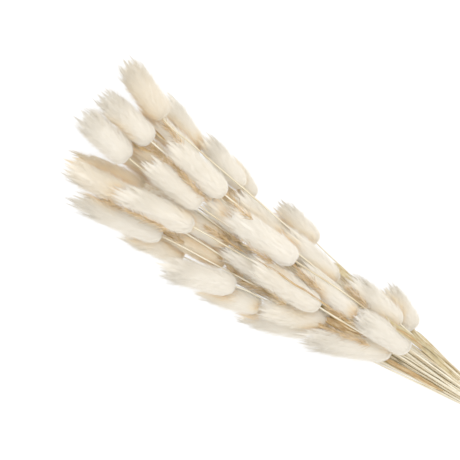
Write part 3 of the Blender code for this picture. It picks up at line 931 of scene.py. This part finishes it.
def golden_strands(ends, width, tails, draw):
    """Short golden hairs along one gap, their dark golden brown in part painted shade. Those that no
    head would hold up are left out.
    """
    step = ends[1] - ends[0]
    count = int(np.linalg.norm(step) / MM * GOLDEN_PER_MM)
    along = draw.random(count)
    heading = unit(step)
    aside = np.array([-heading[1], heading[0]])
    spread = width * draw.normal(0.0, 0.35, count) * np.sqrt(4.0 * along * (1.0 - along) + 0.1)
    reach = draw.uniform(*GOLDEN_LENGTH, count) * MM
    flat = ends[0] + np.outer(along, step) + np.outer(spread, aside) + np.outer(0.5 * reach, heading)
    heights = surface_heights(flat, tails)
    root = np.column_stack([flat, heights - draw.uniform(*GOLDEN_DEPTH, count) * MM])
    lean = draw.normal(0.0, 0.4, count)
    away = -np.outer(np.cos(lean), heading) + np.outer(np.sin(lean), aside)
    lift = draw.uniform(*GOLDEN_DEPTH, count) * MM
    tip = root + np.column_stack([away * reach[:, None], lift])
    middle = 0.5 * (root + tip) + np.outer(0.3 * lift, UP)
    facing = UP + draw.normal(0.0, 0.3, (count, 3))
    widths = GOLDEN_WIDTH * MM * draw.uniform(0.6, 1.3, count)
    tone = GOLDEN_TONE * draw.random(count) ** 1.8
    held = heights > 0.0
    rows = [values[held] for values in (root, middle, tip, facing, widths, tone)]
    return strand_shape(*rows, 0.2, 0.8)


def build_golden_hairs(twine_middle, tails, fluff, draw):
    """Golden hairs that lie along the gaps between the heads, in part painted shade there."""
    shapes = []
    for start, end, width in GOLDEN_PLACES:
        ends = np.array([start, end], float) * (-1.0, 1.0) * MM + twine_middle[:2]
        shapes.append(golden_strands(ends, width * MM, tails, draw))
    make_piece("golden_shade_hairs", joined(*shapes), fluff)


# The stems, the dry blades and the twine


def build_stem(number, tail, straw, draw):
    """One straw stem, from its cut end into its head."""
    inside = tail.base + tail.forward * STEM_INSIDE * tail.length
    path = smooth_path(np.concatenate([tail.path, [inside]]), STEM_STEP * MM)
    radius = np.linspace(*STEM_RADII, len(path)) * MM
    shape = tube_shape(path, radius, TUBE_SIDES, draw.uniform(0.02, 0.6), STEM_MAP)
    name, replaced = f"stem_{number:02d}", f"bunny_tail_{number:02d}"
    make_piece(name, lifted(shape, 0.0), straw, replaced)


def build_blades(name, twine_middle, draw):
    """One kind of dry blade: a piece for each row of its points and width."""
    rows, colors, scales = BLADES[name]
    material = straw_material(f"dried_{name}", colors, scales, BLADE_SHINE)
    for number, (points, width) in enumerate(rows, start=1):
        places = np.array(points, float) * (-1.0, 1.0, 1.0) * MM + twine_middle
        shape = blade_shape(smooth_path(places, BLADE_STEP * MM), width * MM, draw)
        make_piece(f"{name}_{number:02d}", lifted(shape, LOWEST_HAIR), material)


def fibre_strands(middle, radial, twine_middle, draw):
    """Short fibres that stand off the cord at places drawn from its points."""
    chosen = draw.integers(len(middle), size=FIBRES)
    middle, radial = middle[chosen], radial[chosen]
    start = middle + FIBRE_START * radial
    away = draw.normal(0.0, 0.6, (FIBRES, 3)) + 0.9 * radial
    along = np.cross(radial, (1.0, 0.0, 0.0)) * draw.normal(0.0, 0.8, (FIBRES, 1))
    tip = start + away + along
    bend = 0.5 * (start + tip) + 0.15 * radial
    places = [points * MM + twine_middle for points in (start, bend, tip)]
    facing = draw.normal(0.0, 1.0, (FIBRES, 3))
    width = np.full(FIBRES, FIBRE_WIDTH * MM)
    return strand_shape(*places, facing, width, draw.random(FIBRES))


def build_twine(twine_middle, twine, draw):
    """Two twisted strands in close turns round the stems, with fibres that stand off them."""
    length = CORD_TURNS * TURN * CORD_RADIUS
    places = np.arange(0.0, length, CORD_STEP)
    turn = places / CORD_RADIUS + 0.5 * math.pi
    sunk = TUCK_DEPTH * np.exp(-np.minimum(places, length - places) / TUCK_LENGTH)
    radial = np.stack([np.zeros_like(turn), np.cos(turn), np.sin(turn)], axis=1)
    height = CORD_RADIUS + CORD_HALF - CORD_PRESSED
    middle = (CORD_RADIUS - sunk)[:, None] * radial + (0.0, 0.0, height)
    middle[:, 0] = CORD_WIDTH * (places / length - 0.5)
    strands = []
    for part in (0, 1):
        twist = TURN * places / TWIST_LENGTH + part * math.pi
        shift = STRAND_OFFSET * np.cos(twist)[:, None] * radial
        shift[:, 0] += STRAND_OFFSET * np.sin(twist)
        path = (middle + shift) * MM + twine_middle
        radius = np.full(len(path), STRAND_RADIUS * MM)
        strands.append(tube_shape(path, radius, STRAND_SIDES, 0.02 + 0.5 * part, 0.45))
    shape = joined(*strands, fibre_strands(middle, radial, twine_middle, draw))
    make_piece("twine", lifted(shape, 0.0), twine, "twine_tie")


# The stage


def build_floor(middle):
    """A pale floor that glows a little, so that it stays white round the bunch."""
    mesh = bpy.data.meshes.new("floor")
    corners = [(-1.0, -1.0), (1.0, -1.0), (1.0, 1.0), (-1.0, 1.0)]
    mesh.from_pydata([(x * FLOOR_REACH, y * FLOOR_REACH, 0.0) for x, y in corners], [], [(0, 1, 2, 3)])
    floor = bpy.data.objects.new("floor", mesh)
    floor.location = (middle[0], middle[1], -FLOOR_GAP)
    nodes = Nodes("pale_floor")
    nodes.shader.inputs["Base Color"].default_value = (0.2, 0.2, 0.2, 1.0)
    nodes.shader.inputs["Roughness"].default_value = 0.9
    nodes.shader.inputs["Emission Color"].default_value = (1.0, 1.0, 1.0, 1.0)
    nodes.shader.inputs["Emission Strength"].default_value = FLOOR_GLOW
    mesh.materials.append(nodes.material)
    bpy.context.scene.collection.objects.link(floor)


def build_lights(middle):
    """An even white sky and one large soft light above."""
    world = bpy.data.worlds.new("sky")
    world.use_nodes = True
    sky = world.node_tree.nodes["Background"]
    sky.inputs["Color"].default_value = (1.0, 1.0, 1.0, 1.0)
    sky.inputs["Strength"].default_value = SKY_STRENGTH
    bpy.context.scene.world = world
    lamp = bpy.data.lights.new("soft_light", "AREA")
    lamp.shape = "DISK"
    lamp.size = LAMP_SIZE
    lamp.energy = LAMP_POWER
    holder = bpy.data.objects.new("soft_light", lamp)
    holder.location = middle + np.array(LAMP_PLACE)
    aim = Vector(middle) - holder.location
    holder.rotation_euler = aim.to_track_quat("-Z", "Y").to_euler()
    bpy.context.scene.collection.objects.link(holder)


def build_camera(middle):
    """Looks straight down on the bunch, as the photograph does."""
    camera = bpy.data.cameras.new("camera")
    camera.lens = LENS
    camera.sensor_width = SENSOR
    camera.clip_end = SIGHT
    holder = bpy.data.objects.new("camera", camera)
    distance = FRAME_WIDTH * MM * LENS / SENSOR
    holder.location = (middle[0], middle[1], middle[2] + distance)
    holder.rotation_euler = (0.0, 0.0, math.radians(FRAME_TURN))
    bpy.context.scene.collection.objects.link(holder)
    bpy.context.scene.camera = holder


def build_bunch(twine_middle):
    """Every piece of the bunch, in one order, so that the random draws are the same each run."""
    fluff = fluff_material()
    straws = [
        straw_material(f"dried_straw_{index}", colors, STRAW_LINES)
        for index, colors in enumerate(STRAWS)
    ]
    draw = np.random.default_rng(SEED)
    numbers = sorted(int(name[-2:]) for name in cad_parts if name.startswith("bunny_tail_"))
    tails = [Tail(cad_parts[f"bunny_tail_{number:02d}"]) for number in numbers]
    for number, tail in zip(numbers, tails):
        others = [other for other in tails if other is not tail]
        tone = TAN_HEADS.get(number, draw.uniform(*TONE_RANGE))
        build_plume(number, tail, others, tone, fluff, draw)
        build_stem(number, tail, straws[number % len(straws)], draw)
    for name in BLADES:
        build_blades(name, twine_middle, draw)
    build_golden_hairs(twine_middle, tails, fluff, draw)
    build_twine(twine_middle, twine_material(), draw)


def main():
    low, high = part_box("twine_tie")
    twine_middle = np.array([0.5 * (low[0] + high[0]), 0.5 * (low[1] + high[1]), 0.0])
    aim = twine_middle + np.array(FRAME_FROM_TWINE) * MM
    build_camera(aim)
    build_floor(aim)
    build_lights(aim)
    bpy.context.scene.view_settings.view_transform = "Standard"
    bpy.context.scene.view_settings.gamma = SOFT_TONES
    build_bunch(twine_middle)


main()
